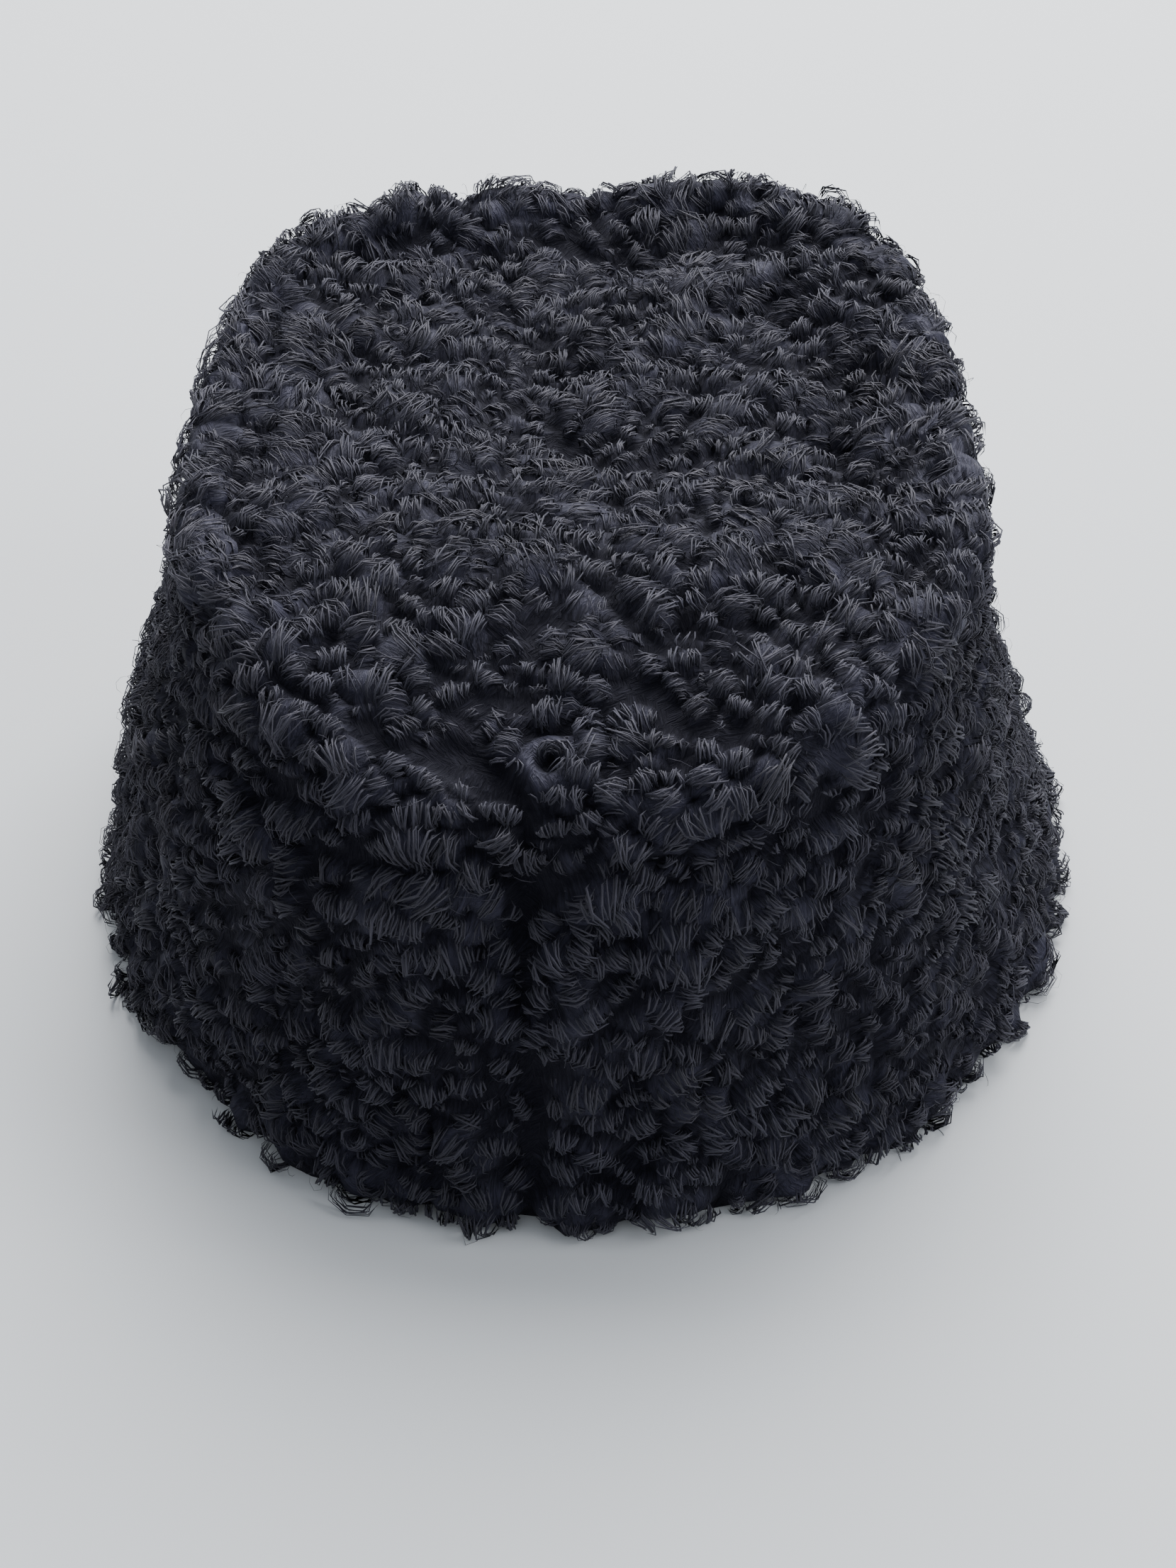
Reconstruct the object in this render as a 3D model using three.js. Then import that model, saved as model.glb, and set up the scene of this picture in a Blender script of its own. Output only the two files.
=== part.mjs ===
// Karakul hat: a bucket-shaped hat of curly black lambskin, open below for the head.
// Millimetres, +Z up. The origin is the centre of the rim, on the plane that the rim rests on.
// The front of the hat faces -Y, its back seam faces +Y, and its wearer's left is +X.

import * as THREE from 'three';

// Driving dimensions
const WALL = 8; // hide and fleece together
const CROWN_WALL = 6.5; // the crown's hide and shorter fleece
const SEAM_GAP = 0.3; // between two edges that are sewn together
const TOP_HEIGHT = 96; // rim to the ridge of the shoulder, at the sides
const FRONT_RISE = 4.9; // the front of the top is higher and the back lower by this
const RIM_HALF_LENGTH = 110;
const DISH_DEPTH = 5.4; // the middle of the top below its seam
const DISH_SLOPE = 0.55; // share of the top over which the dish falls to its depth
const DISH_FADE = { start: -10, end: 55, kept: 0.2 }; // towards the back the dish runs out

// The band's outer face, one row for each section from the rim over the shoulder to the crown seam.
// left, right, back and front are half extents and squareness is the exponent of the outline.
const BAND_SECTIONS = [
  { height: 0, left: 95, right: 95, back: 110, front: 111.5, squareness: 2.04 },
  { height: 14, left: 92.6, right: 90.6, back: 107.6, front: 108, squareness: 2.1 },
  { height: 32, left: 88.2, right: 84.2, back: 104, front: 104.2, squareness: 2.25 },
  { height: 52, left: 82, right: 77.8, back: 100.4, front: 100.2, squareness: 2.5 },
  { height: 68, left: 75.4, right: 72, back: 97, front: 96.6, squareness: 2.7 },
  { height: 79, left: 70.4, right: 68.8, back: 94.4, front: 94.4, squareness: 2.9 },
  { height: 87, left: 70.4, right: 69.8, back: 93.2, front: 93.8, squareness: 3.05 },
  { height: 93.4, left: 69.2, right: 68.8, back: 89.8, front: 91, squareness: 3.15 },
  { height: 96, left: 65, right: 64.8, back: 84.8, front: 85.8, squareness: 3.1 },
  { height: 94.8, left: 60, right: 59.8, back: 79.8, front: 80.4, squareness: 3 },
];

// How much the shoulder stands above its section, by bearing from +X towards +Y in degrees
const SHOULDER_RISES = [
  { bearing: -180, rise: 0 },
  { bearing: -150, rise: 1 },
  { bearing: -136, rise: 3 },
  { bearing: -122, rise: 3.8 },
  { bearing: -112, rise: 2.6 },
  { bearing: -100, rise: 1.4 },
  { bearing: -92, rise: -0.6 },
  { bearing: -78, rise: 0.2 },
  { bearing: -59, rise: 1.2 },
  { bearing: -40, rise: 1.4 },
  { bearing: 0, rise: 0 },
  { bearing: 60, rise: 0.4 },
  { bearing: 82, rise: -0.6 },
  { bearing: 110, rise: 0.8 },
  { bearing: 180, rise: 0 },
];

// Dents and swells of the crown, each an oval seen from above whose length is turned from +X,
// left and right being the wearer's
const CROWN_DENTS = [
  { name: 'front valley', x: 6, y: -66, length: 88, width: 12, turn: 0, rise: -6 },
  { name: 'front right valley', x: -40, y: -44, length: 60, width: 11, turn: 112, rise: -5 },
  { name: 'right valley', x: -49, y: 8, length: 70, width: 10, turn: 95, rise: -4.2 },
  { name: 'left valley', x: 48, y: -20, length: 80, width: 11, turn: 86, rise: -3.2 },
  { name: 'middle crease', x: 5, y: -30, length: 70, width: 10, turn: 94, rise: -5 },
  { name: 'dimple', x: 4, y: -3, length: 16, width: 9, turn: 0, rise: -4.6 },
  { name: 'second dimple', x: -9, y: 8, length: 16, width: 9, turn: 0, rise: -3.8 },
  { name: 'middle swell', x: 4, y: 42, length: 36, width: 17, turn: 20, rise: 3.6 },
  { name: 'back sag', x: 12, y: 98, length: 130, width: 62, turn: 0, rise: -11 },
  { name: 'left lobe', x: 36, y: 44, length: 60, width: 24, turn: 70, rise: 3 },
  { name: 'right lobe', x: -34, y: 52, length: 52, width: 22, turn: 110, rise: 2.8 },
  { name: 'slanting valley', x: -12, y: 82, length: 36, width: 9, turn: 145, rise: -4 },
  { name: 'short groove', x: -15, y: 66, length: 30, width: 7, turn: 90, rise: -3.4 },
  { name: 'left back valley', x: 30, y: 72, length: 54, width: 10, turn: 128, rise: -4.4 },
  { name: 'seam pit', x: 13, y: 87, length: 20, width: 10, turn: 90, rise: -5 },
];

const DENT_EDGE = 3; // how fast a dent fades at the end of its length and width
const RELIEF_FADE = { gone: 60, full: 92 }; // heights on the band where dents of the crown run out
const UNDER_RELIEF = 0.6; // share of a dent that shows under the crown

// The back seam: its place across the back, and the groove where the fleece parts
const SEAM_X = 10.4;
const GROOVE_WIDTH = 7;
const GROOVE_ROWS = [
  { height: 0, depth: 1.2 },
  { height: 25, depth: 1.6 },
  { height: 45, depth: 3.2 },
  { height: 78, depth: 3.6 },
  { height: 92, depth: 1.5 },
  { height: 98, depth: 0 },
];
const SEAM_LIP = { rise: 1.6, offset: 6, width: 6, fullHeight: 40 }; // the fleece edge on the right

// Locks of the fleece: half of each one's length and width, and how far its crest stands out
const BAND_LOCK = { halfLength: 7, halfWidth: 5.2, rise: 3.6, pitchAlong: 10.5, pitchUp: 8.5, scatter: 1.1 };
const CROWN_LOCK = { halfLength: 8.4, halfWidth: 5, rise: 2.4, pitchAlong: 12, pitchUp: 9.5, scatter: 1 };
const LOCK_SINK = 0.45; // share of a lock's rise that lies below the outer face
const RIM_LIFT = 0.4; // locks next to the rim stay this far above its plane
const INNER_TURN_START = 0.55; // share of the band where its inner face starts to turn in
const BAND_BLACK = 0x15161a;
const CROWN_BLACK = 0x1b1c21;

// Mesh steps
const STEPS_AROUND = 120;
const BAND_STEPS_UP = 28;
const BAND_STEPS_INSIDE = 7;
const NET_RINGS = STEPS_AROUND / 8; // rings of the crown's net, which has 8 knots more in each ring
const UNDER_RINGS = 4;
const PROBE = 0.004; // step in surface coordinates from which a normal is worked out

const degrees = THREE.MathUtils.degToRad;
const clamp = THREE.MathUtils.clamp;
const smooth = (value, low, high) => THREE.MathUtils.smoothstep(value, low, high);

// A smooth curve through the rows of a table, whose knots are a column or evenly spaced
function curveThrough(rows, columns, knotColumn) {
  const knots = rows.map((row, index) => (knotColumn ? row[knotColumn] : index / (rows.length - 1)));
  const values = rows.flatMap((row) => columns.map((column) => row[column]));
  const curve = new THREE.CubicInterpolant(knots, values, columns.length);
  return (at) => {
    const found = curve.evaluate(clamp(at, knots[0], knots[knots.length - 1]));
    return Object.fromEntries(columns.map((column, index) => [column, found[index]]));
  };
}

const sectionAt = curveThrough(BAND_SECTIONS, ['height', 'left', 'right', 'back', 'front', 'squareness']);
const shoulderRiseAt = curveThrough(SHOULDER_RISES, ['rise'], 'bearing');
const grooveDepthAt = curveThrough(GROOVE_ROWS, ['depth'], 'height');

// Distance from the axis to a rounded outline in one direction
function outlineRadius(section, angle) {
  const halfX = Math.cos(angle) > 0 ? section.left : section.right;
  const halfY = Math.sin(angle) > 0 ? section.back : section.front;
  const power = section.squareness;
  const across = Math.abs(Math.cos(angle) / halfX) ** power;
  const along = Math.abs(Math.sin(angle) / halfY) ** power;
  return (across + along) ** (-1 / power);
}

// The plane of the top leans: points near the front are lifted and points near the back lowered
function leanAt(height, y) {
  return -FRONT_RISE * clamp(height / TOP_HEIGHT, 0, 1) * (y / RIM_HALF_LENGTH);
}

function bearingOf(angle) {
  return THREE.MathUtils.euclideanModulo(THREE.MathUtils.radToDeg(angle) + 180, 360) - 180;
}

// How far the dents and swells of the crown lift it at a place seen from above
function crownRelief(x, y) {
  let total = 0;
  for (const dent of CROWN_DENTS) {
    const turn = degrees(dent.turn);
    const along = (x - dent.x) * Math.cos(turn) + (y - dent.y) * Math.sin(turn);
    const across = (y - dent.y) * Math.cos(turn) - (x - dent.x) * Math.sin(turn);
    const spread = (along / dent.length) ** 2 + (across / dent.width) ** 2;
    total += dent.rise * Math.exp(-DENT_EDGE * spread);
  }
  return total;
}

// The same on the band, where the dents run out below the shoulder
function shoulderRelief(point) {
  return smooth(point.z, RELIEF_FADE.gone, RELIEF_FADE.full) * crownRelief(point.x, point.y);
}

// The plain band without fleece relief: share 0 is the rim and share 1 the crown seam
function bandFace(angle, share) {
  const section = sectionAt(share);
  const radius = outlineRadius(section, angle);
  const x = radius * Math.cos(angle);
  const y = radius * Math.sin(angle);
  const shoulder = smooth(section.height, 78, 94);
  const rise = shoulderRiseAt(bearingOf(angle)).rise * shoulder;
  return new THREE.Vector3(x, y, section.height + leanAt(section.height, y) + rise);
}

// The plain crown: share 0 is its middle and share 1 the seam
function crownFace(angle, share) {
  const edge = bandFace(angle, 1);
  const fade = 1 - (1 - DISH_FADE.kept) * smooth(edge.y * share, DISH_FADE.start, DISH_FADE.end);
  const dish = DISH_DEPTH * fade * (1 - smooth(share, 1 - DISH_SLOPE, 1));
  const middle = BAND_SECTIONS[BAND_SECTIONS.length - 1].height + leanAt(TOP_HEIGHT, edge.y * share);
  const height = THREE.MathUtils.lerp(middle, edge.z, share ** 3);
  return new THREE.Vector3(edge.x * share, edge.y * share, height - dish);
}

// The outward normal of a face, from two short steps along it
function normalOf(face, angle, share) {
  const low = Math.max(share - PROBE, 0.001);
  const high = Math.min(share + PROBE, 1);
  const up = face(angle, high).sub(face(angle, low));
  const around = face(angle + PROBE, share).sub(face(angle - PROBE, share));
  return around.cross(up).normalize();
}

// A repeatable row of numbers from 0 to 1
function numbersFrom(seed) {
  let state = seed;
  return () => {
    state = (state + 0x6d2b79f5) | 0;
    let mixed = Math.imul(state ^ (state >>> 15), 1 | state);
    mixed = (mixed + Math.imul(mixed ^ (mixed >>> 7), 61 | mixed)) ^ mixed;
    return ((mixed ^ (mixed >>> 14)) >>> 0) / 4294967296;
  };
}

// Locks are strewn over a face in rough rows, each with its own place, turn and size
function locksOn(face, kind, seed, startShare, endShare) {
  const next = numbersFrom(seed);
  const swing = () => next() - 0.5;
  const rows = Math.round(face(0, endShare).distanceTo(face(0, startShare)) / kind.pitchUp);
  const locks = [];
  for (let row = 0; row <= rows; row += 1) {
    const share = THREE.MathUtils.lerp(startShare, endShare, row / rows);
    const girth = Math.PI * (Math.abs(face(0, share).x) + Math.abs(face(Math.PI / 2, share).y));
    const count = Math.max(3, Math.round(girth / kind.pitchAlong));
    for (let index = 0; index < count; index += 1) {
      const angle = ((index + 0.5 * (row % 2) + kind.scatter * swing()) / count) * Math.PI * 2;
      const offset = (kind.scatter * swing() * (endShare - startShare)) / rows;
      const place = clamp(share + offset, startShare, endShare);
      const normal = normalOf(face, angle, place);
      const around = face(angle + PROBE, place).sub(face(angle - PROBE, place)).normalize();
      const along = around.applyAxisAngle(normal, Math.PI * swing());
      const across = normal.clone().cross(along);
      locks.push({ centre: face(angle, place), along, across, normal, size: 1 + 0.4 * swing() });
    }
  }
  return locks;
}

// How far the nearest lock lifts the fleece at a point
function lockRise(point, locks, kind) {
  let highest = 0;
  const step = new THREE.Vector3();
  for (const lock of locks) {
    step.subVectors(point, lock.centre);
    if (Math.abs(step.dot(lock.normal)) > kind.halfWidth) continue;
    const along = step.dot(lock.along) / (kind.halfLength * lock.size);
    const across = step.dot(lock.across) / (kind.halfWidth * lock.size);
    const spread = along * along + across * across;
    if (spread < 1) highest = Math.max(highest, Math.sqrt(1 - spread) * lock.size);
  }
  return kind.rise * (highest - LOCK_SINK);
}

// The groove and lip of the back seam, on the back of the band
function seamRelief(point) {
  if (point.y < 0) return 0;
  const off = (point.x - SEAM_X) / (GROOVE_WIDTH / 2);
  const lip = (point.x - SEAM_X + SEAM_LIP.offset) / (SEAM_LIP.width / 2);
  const lipRise = SEAM_LIP.rise * smooth(point.z, 0, SEAM_LIP.fullHeight);
  return lipRise * Math.exp(-lip * lip) - grooveDepthAt(point.z).depth * Math.exp(-off * off);
}

// The direction, seen from above, in which the back seam lies at a share of the band's height
function seamAngle(share) {
  let angle = Math.PI / 2;
  for (let pass = 0; pass < 4; pass += 1) {
    angle = Math.acos(clamp(SEAM_X / outlineRadius(sectionAt(share), angle), -1, 1));
  }
  return angle;
}

const bandLocks = locksOn(bandFace, BAND_LOCK, 11, 0.03, 0.97);
const crownLocks = locksOn(crownFace, CROWN_LOCK, 23, 0.06, 0.95);
const upwards = new THREE.Vector3(0, 0, 1);

// Points of the band's outer face, lifted by its locks and dents; the rim stays in its own plane
function bandOuter(angle, share) {
  const point = bandFace(angle, share);
  const direction = normalOf(bandFace, angle, share).lerp(upwards, smooth(share, 0.86, 1)).normalize();
  const locks = lockRise(point, bandLocks, BAND_LOCK) * (1 - 0.7 * smooth(share, 0.95, 1));
  const dent = shoulderRelief(point);
  point.addScaledVector(direction, locks + seamRelief(point));
  point.z += dent;
  point.z = share === 0 ? 0 : Math.max(point.z, RIM_LIFT);
  return point;
}

// Points of the band's inner face: a wall's thickness inward, turning to downward at the shoulder
function bandInner(angle, share) {
  const point = bandFace(angle, share);
  const turn = (Math.PI / 2) * smooth(share, INNER_TURN_START, 1);
  const dent = shoulderRelief(point);
  point.x -= WALL * Math.cos(turn) * Math.cos(angle);
  point.y -= WALL * Math.cos(turn) * Math.sin(angle);
  point.z += dent - WALL * Math.sin(turn);
  return point;
}

// Points of the crown's two faces, which lie a wall apart; the dents are shallower underneath
function crownOuter(angle, share) {
  const point = crownFace(angle, share);
  const locks = lockRise(point, crownLocks, CROWN_LOCK) * (1 - 0.6 * smooth(share, 0.93, 1));
  point.z += locks + crownRelief(point.x, point.y);
  return point;
}

function crownInner(angle, share) {
  const point = crownFace(angle, share);
  point.z += UNDER_RELIEF * crownRelief(point.x, point.y) - CROWN_WALL;
  return point;
}

// Triangles between rows of points, each row joined to the next and the last to the first
function weave(rowCount, width) {
  const triangles = [];
  for (let row = 0; row < rowCount; row += 1) {
    const above = (row + 1) % rowCount;
    for (let column = 0; column < width - 1; column += 1) {
      const here = row * width + column;
      const over = above * width + column;
      triangles.push(here, here + 1, over + 1, here, over + 1, over);
    }
  }
  return triangles;
}

function geometryOf(points, triangles) {
  const geometry = new THREE.BufferGeometry();
  const numbers = points.flatMap((point) => [point.x, point.y, point.z]);
  geometry.setAttribute('position', new THREE.Float32BufferAttribute(numbers, 3));
  geometry.setIndex(triangles);
  geometry.computeVertexNormals();
  return geometry;
}

// Shares of the way from 0 to 1 in even steps
function evenShares(steps) {
  return Array.from({ length: steps + 1 }, (_, step) => step / steps);
}

// Triangles that fill a cut end of the band, between the outer and the inner line of its section
function endTriangles(outerSteps, innerSteps) {
  const innerRow = (step) => outerSteps + 1 + innerSteps - step;
  const triangles = [];
  let outer = 0;
  let inner = 0;
  while (outer < outerSteps || inner < innerSteps) {
    const outerNext = (outer + 1) / outerSteps;
    const innerNext = (inner + 1) / innerSteps;
    if (outer < outerSteps && (inner === innerSteps || outerNext <= innerNext)) {
      triangles.push([outer, outer + 1, innerRow(inner)]);
      outer += 1;
    } else {
      triangles.push([outer, innerRow(inner + 1), innerRow(inner)]);
      inner += 1;
    }
  }
  return triangles;
}

// The band: a strip whose section runs up the outer face, across the crown seam and down the
// inner face to the rim, carried round from one side of the back seam to the other
function bandGeometry() {
  const outside = evenShares(BAND_STEPS_UP).map((share) => ({ place: bandOuter, share }));
  const inside = evenShares(BAND_STEPS_INSIDE).map((share) => ({ place: bandInner, share: 1 - share }));
  const rows = [...outside, ...inside].map(({ place, share }) => {
    const start = seamAngle(share);
    const halfGap = SEAM_GAP / 2 / outlineRadius(sectionAt(share), start);
    const sweep = 2 * Math.PI - 2 * halfGap;
    return evenShares(STEPS_AROUND).map((turn) => place(start + halfGap + sweep * turn, share));
  });
  const width = STEPS_AROUND + 1;
  const triangles = weave(rows.length, width);
  for (const [a, b, c] of endTriangles(BAND_STEPS_UP, BAND_STEPS_INSIDE)) {
    triangles.push(a * width, b * width, c * width);
    triangles.push((a + 1) * width - 1, (c + 1) * width - 1, (b + 1) * width - 1);
  }
  return geometryOf(rows.flat(), triangles);
}

// A knot of a square net laid over a disc: its share of the way out, and its turn round the middle
function netKnot(column, row) {
  const ring = Math.max(Math.abs(column), Math.abs(row));
  if (ring === 0) return { share: 0, turn: 0 };
  const side = [
    { at: column === ring && row > -ring, walked: row + ring },
    { at: row === ring, walked: 3 * ring - column },
    { at: column === -ring, walked: 5 * ring - row },
    { at: row === -ring, walked: 7 * ring + column },
  ].find((candidate) => candidate.at);
  return { share: ring / NET_RINGS, turn: (side.walked / (8 * ring)) % 1 };
}

// The crown: a dented disc whose top is a square net drawn round, with rings underneath
function crownGeometry() {
  const reach = 1 - SEAM_GAP / bandFace(0, 1).x;
  const start = seamAngle(1);
  const place = (face, share, turn) => face(start + 2 * Math.PI * turn, share * reach);
  const points = [];
  const triangles = [];
  const edge = new Array(STEPS_AROUND);
  const width = 2 * NET_RINGS + 1;
  for (let row = 0; row < width; row += 1) {
    for (let column = 0; column < width; column += 1) {
      const { share, turn } = netKnot(column - NET_RINGS, row - NET_RINGS);
      if (share === 1) edge[Math.round(turn * STEPS_AROUND)] = points.length;
      points.push(place(crownOuter, share, turn));
    }
  }
  for (let row = 0; row < width - 1; row += 1) {
    for (let column = 0; column < width - 1; column += 1) {
      const near = row * width + column;
      const far = near + width;
      triangles.push(near, near + 1, far + 1, near, far + 1, far);
    }
  }
  let above = edge;
  for (let step = UNDER_RINGS; step > 0; step -= 1) {
    const below = edge.map((_, index) => points.length + index);
    below.forEach((_, index) => points.push(place(crownInner, step / UNDER_RINGS, index / STEPS_AROUND)));
    below.forEach((here, index) => {
      const next = (index + 1) % STEPS_AROUND;
      triangles.push(here, below[next], above[next], here, above[next], above[index]);
    });
    above = below;
  }
  const middle = points.length;
  points.push(place(crownInner, 0, 0));
  above.forEach((here, index) => triangles.push(middle, above[(index + 1) % STEPS_AROUND], here));
  return geometryOf(points, triangles);
}

function fleece(colour, roughness) {
  return new THREE.MeshStandardMaterial({ color: colour, roughness, metalness: 0 });
}

const sideBand = new THREE.Mesh(bandGeometry(), fleece(BAND_BLACK, 0.62));
sideBand.name = 'side_band';

const crownTip = new THREE.Mesh(crownGeometry(), fleece(CROWN_BLACK, 0.58));
crownTip.name = 'crown_tip';

const hat = new THREE.Group();
hat.add(sideBand, crownTip);

export default hat;
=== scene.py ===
# %% [markdown]
# # A karakul hat in Blender
#
# The hat is a bucket of curly black lambskin. Its band is one strip, sewn up at the back, and a
# sunken crown closes the top. All of its character is in the fleece: thousands of small tight rolls
# and rings of wool on the wall, longer and flatter ones on the crown, and loose hairs at every edge.
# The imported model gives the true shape, and this script clothes it. Only the inner face moves a
# little under the deepest dents, so that the skin stays as thick as a skin is.

import math

import bmesh
import bpy
import numpy as np
from mathutils import Matrix, Vector, kdtree, noise
from mathutils.bvhtree import BVHTree


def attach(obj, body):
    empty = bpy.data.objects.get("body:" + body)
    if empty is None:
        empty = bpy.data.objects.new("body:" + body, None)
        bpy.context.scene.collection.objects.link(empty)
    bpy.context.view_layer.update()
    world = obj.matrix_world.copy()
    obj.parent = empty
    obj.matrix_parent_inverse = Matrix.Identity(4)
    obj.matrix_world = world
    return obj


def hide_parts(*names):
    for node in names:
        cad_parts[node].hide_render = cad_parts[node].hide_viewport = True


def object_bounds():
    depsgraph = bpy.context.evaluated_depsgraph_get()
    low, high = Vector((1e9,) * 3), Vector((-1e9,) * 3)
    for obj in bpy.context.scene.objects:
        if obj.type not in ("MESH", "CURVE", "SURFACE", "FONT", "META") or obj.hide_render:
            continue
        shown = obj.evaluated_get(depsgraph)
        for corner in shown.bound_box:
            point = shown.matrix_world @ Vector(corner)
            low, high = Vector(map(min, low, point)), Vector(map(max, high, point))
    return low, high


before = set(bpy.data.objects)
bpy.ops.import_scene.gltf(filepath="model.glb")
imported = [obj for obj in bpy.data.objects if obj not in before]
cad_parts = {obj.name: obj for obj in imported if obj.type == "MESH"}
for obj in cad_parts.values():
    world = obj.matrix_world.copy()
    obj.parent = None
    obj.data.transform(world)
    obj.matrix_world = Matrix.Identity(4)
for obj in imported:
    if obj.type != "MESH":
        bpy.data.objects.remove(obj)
cad_low, cad_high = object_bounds()
MM = 0.001
HAT_HEIGHT = cad_high.z
print("hat, mm:", [round(side / MM, 1) for side in (cad_high - cad_low)])

# %% [markdown]
# ## The camera
#
# The photograph looks down on the back of the hat from rather close by, so the rim looks much wider
# than the crown. The lens follows from how strongly the outline tapers, and the camera then stands
# at the distance that fills the picture. Blender's sensor width belongs to the picture's long side.

# %% Place the camera behind and above the hat
PHOTO_HEIGHT = 2212
FOCAL_PIXELS = 3328
SENSOR = 36.0
CAMERA_DISTANCE = 470 * MM
CAMERA_ELEVATION = math.radians(37.6)
CAMERA_BEARING = math.radians(179.85)
CAMERA_ROLL = math.radians(-0.31)
AIM_HEIGHT = 11.6 * MM
AIM_ASIDE = 0.7 * MM


def make_camera():
    flat = math.cos(CAMERA_ELEVATION)
    height = math.sin(CAMERA_ELEVATION)
    back = Vector((math.sin(CAMERA_BEARING) * flat, -math.cos(CAMERA_BEARING) * flat, height))
    right = Vector((0, 0, 1)).cross(back).normalized()
    aim = Vector((0, 0, AIM_HEIGHT)) + right * AIM_ASIDE
    turned = Matrix((right, back.cross(right), back)).transposed().to_4x4()
    data = bpy.data.cameras.new("camera")
    data.sensor_width = SENSOR
    data.lens = FOCAL_PIXELS / PHOTO_HEIGHT * SENSOR
    data.clip_start = 0.01
    camera = bpy.data.objects.new("camera", data)
    place = Matrix.Translation(aim + back * CAMERA_DISTANCE)
    camera.matrix_world = place @ turned @ Matrix.Rotation(CAMERA_ROLL, 4, "Z")
    bpy.context.scene.collection.objects.link(camera)
    bpy.context.scene.camera = camera
    print("lens, mm:", round(data.lens, 2))


make_camera()

# %% [markdown]
# ## The room
#
# A black fleece shows its form only by what it reflects, so the room matters more here than with a
# pale object. A broad soft panel hangs above and beyond the hat, as a ceiling light would. It draws a
# grey sheen on every curl that faces up and leaves the wall below it dark. A weaker panel stands at
# the right, and a faint even sky keeps the shadows open.

# %% Floor, sky and soft lights
FLOOR_SIZE = 6.0
FLOOR_GREY = (0.62, 0.63, 0.64, 1.0)
FLOOR_ROUGHNESS = 0.85
LIGHTS = {
    "ceiling_panel": {
        "place": (-0.15, -0.78, 1.05), "size": 1.1, "watts": 46.0, "colour": (0.97, 0.98, 1.0),
    },
    "right_panel": {
        "place": (-1.0, 0.25, 0.65), "size": 0.6, "watts": 8.0, "colour": (0.93, 0.96, 1.0),
    },
}
LIT_HEIGHT = HAT_HEIGHT * 0.7
SKY = (0.84, 0.9, 0.97, 1.0)
SKY_STRENGTH = 0.64


def make_floor():
    mesh = bmesh.new()
    bmesh.ops.create_grid(mesh, x_segments=1, y_segments=1, size=FLOOR_SIZE / 2)
    data = bpy.data.meshes.new("floor")
    mesh.to_mesh(data)
    mesh.free()
    floor = bpy.data.objects.new("floor", data)
    bpy.context.scene.collection.objects.link(floor)
    paint = bpy.data.materials.new("floor_paint")
    paint.use_nodes = True
    shader = paint.node_tree.nodes["Principled BSDF"]
    shader.inputs["Base Color"].default_value = FLOOR_GREY
    shader.inputs["Roughness"].default_value = FLOOR_ROUGHNESS
    data.materials.append(paint)


def make_light(name, place, size, watts, colour):
    data = bpy.data.lights.new(name, "AREA")
    data.shape = "SQUARE"
    data.size = size
    data.energy = watts
    data.color = colour
    light = bpy.data.objects.new(name, data)
    aim = Vector((0, 0, LIT_HEIGHT)) - Vector(place)
    light.matrix_world = Matrix.Translation(place) @ aim.to_track_quat("-Z", "Y").to_matrix().to_4x4()
    bpy.context.scene.collection.objects.link(light)


def make_sky():
    world = bpy.data.worlds.new("soft_room")
    world.use_nodes = True
    background = world.node_tree.nodes["Background"]
    background.inputs["Color"].default_value = SKY
    background.inputs["Strength"].default_value = SKY_STRENGTH
    bpy.context.scene.world = world


make_floor()
make_sky()
for light_name, facts in LIGHTS.items():
    make_light(light_name, **facts)
print("lights:", len(LIGHTS))

# %% [markdown]
# ## Shader maths as plain sums
#
# Node graphs are easier to read as expressions. One small class wraps a socket, and its operators add
# Math nodes. Any other node comes from one method that takes the node's type, settings and inputs.

# %% A socket that can be added and multiplied
class Wire:
    def __init__(self, tree, socket):
        self.tree = tree
        self.socket = socket

    def node(self, kind, settings=None, inputs=None, output=0):
        made = self.tree.nodes.new(kind)
        for key, value in (settings or {}).items():
            if key == "stops":
                ramp = made.color_ramp
                while len(ramp.elements) < len(value):
                    ramp.elements.new(0.5)
                for element, (place, colour) in zip(ramp.elements, value):
                    element.position = place
                    element.color = colour
            else:
                setattr(made, key, value)
        for key, value in (inputs or {}).items():
            if isinstance(value, Wire):
                self.tree.links.new(value.socket, made.inputs[key])
            else:
                made.inputs[key].default_value = value
        return Wire(self.tree, made.outputs[output])

    def maths(self, operation, first, second):
        return self.node("ShaderNodeMath", {"operation": operation}, {0: first, 1: second})

    def __add__(self, other):
        return self.maths("ADD", self, other)

    def __radd__(self, other):
        return self.maths("ADD", other, self)

    def __sub__(self, other):
        return self.maths("SUBTRACT", self, other)

    def __rsub__(self, other):
        return self.maths("SUBTRACT", other, self)

    def __mul__(self, other):
        return self.maths("MULTIPLY", self, other)

    def __rmul__(self, other):
        return self.maths("MULTIPLY", other, self)


def start_material(name):
    material = bpy.data.materials.new(name)
    material.use_nodes = True
    shader = material.node_tree.nodes["Principled BSDF"]
    return material, shader, Wire(material.node_tree, None)


def feed(wire, shader, socket):
    wire.tree.links.new(wire.socket, shader.inputs[socket])
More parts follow.
